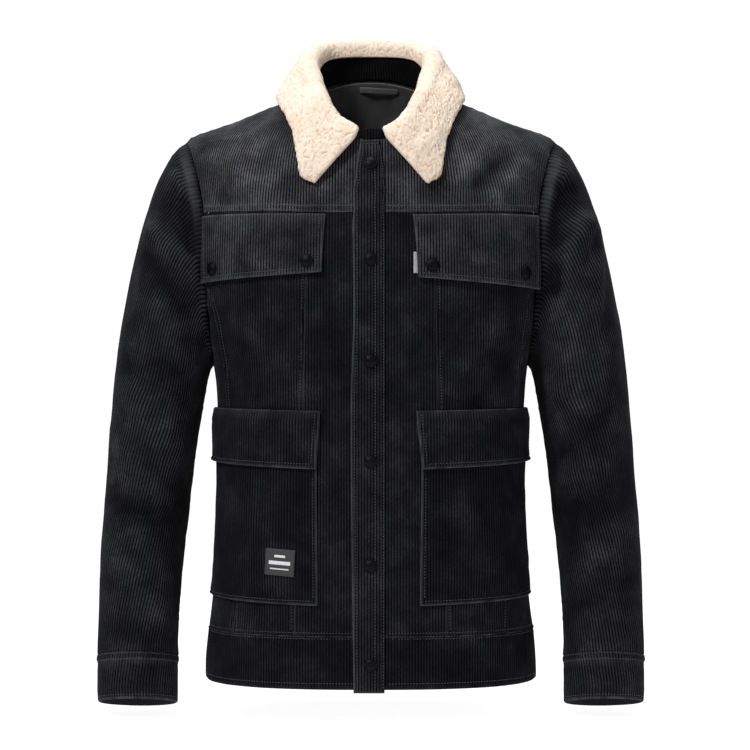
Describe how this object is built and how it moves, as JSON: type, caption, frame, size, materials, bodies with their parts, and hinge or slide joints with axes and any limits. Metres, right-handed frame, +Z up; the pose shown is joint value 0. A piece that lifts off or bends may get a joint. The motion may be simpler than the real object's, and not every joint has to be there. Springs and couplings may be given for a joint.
{
  "type": "corduroy jacket with fleece collar",
  "caption": "Black corduroy trucker jacket with a cream fleece collar, snap front, chest flaps and patch pockets, hollow as if worn.",
  "frame": {"origin": "middle of the neck opening, level with the points where the shoulders leave the collar", "axes": "+Z up, the front faces -Y, +X is the wearer's left"},
  "size_m": [0.6106, 0.2638, 0.7636],
  "materials": {
    "corduroy": "black cotton corduroy",
    "fleece": "cream curly fleece",
    "lining": "black satin lining",
    "patch": "dark grey coated patch",
    "tape": "white woven tape",
    "snap": "black lacquered snap caps"
  },
  "bodies": {
    "root": {"back_lining": "lining", "back_panel": "corduroy", "back_yoke": "corduroy", "chest_flap_left": "corduroy", "chest_flap_right": "corduroy", "collar": "fleece", "collar_stand": "corduroy", "cuff_left": "corduroy", "cuff_right": "corduroy", "flap_snap_left_inner": "snap", "flap_snap_left_outer": "snap", "flap_snap_right_inner": "snap", "flap_snap_right_outer": "snap", "front_centre_left": "corduroy", "front_centre_right": "corduroy", "front_middle_left": "corduroy", "front_middle_right": "corduroy", "front_side_left": "corduroy", "front_side_right": "corduroy", "front_snap_1": "snap", "front_snap_2": "snap", "front_snap_3": "snap", "front_snap_4": "snap", "front_snap_5": "snap", "front_snap_6": "snap", "front_yoke_left": "corduroy", "front_yoke_right": "corduroy", "hanger_loop": "lining", "hem_band_back": "corduroy", "hem_band_left": "corduroy", "hem_band_right": "corduroy", "lower_flap_left": "corduroy", "lower_flap_right": "corduroy", "lower_pocket_left": "corduroy", "lower_pocket_right": "corduroy", "patch": "patch", "placket_strip": "corduroy", "side_tab": "tape", "top_sleeve_left": "corduroy", "top_sleeve_right": "corduroy", "under_sleeve_left": "corduroy", "under_sleeve_right": "corduroy"}
  },
  "joints": []
}
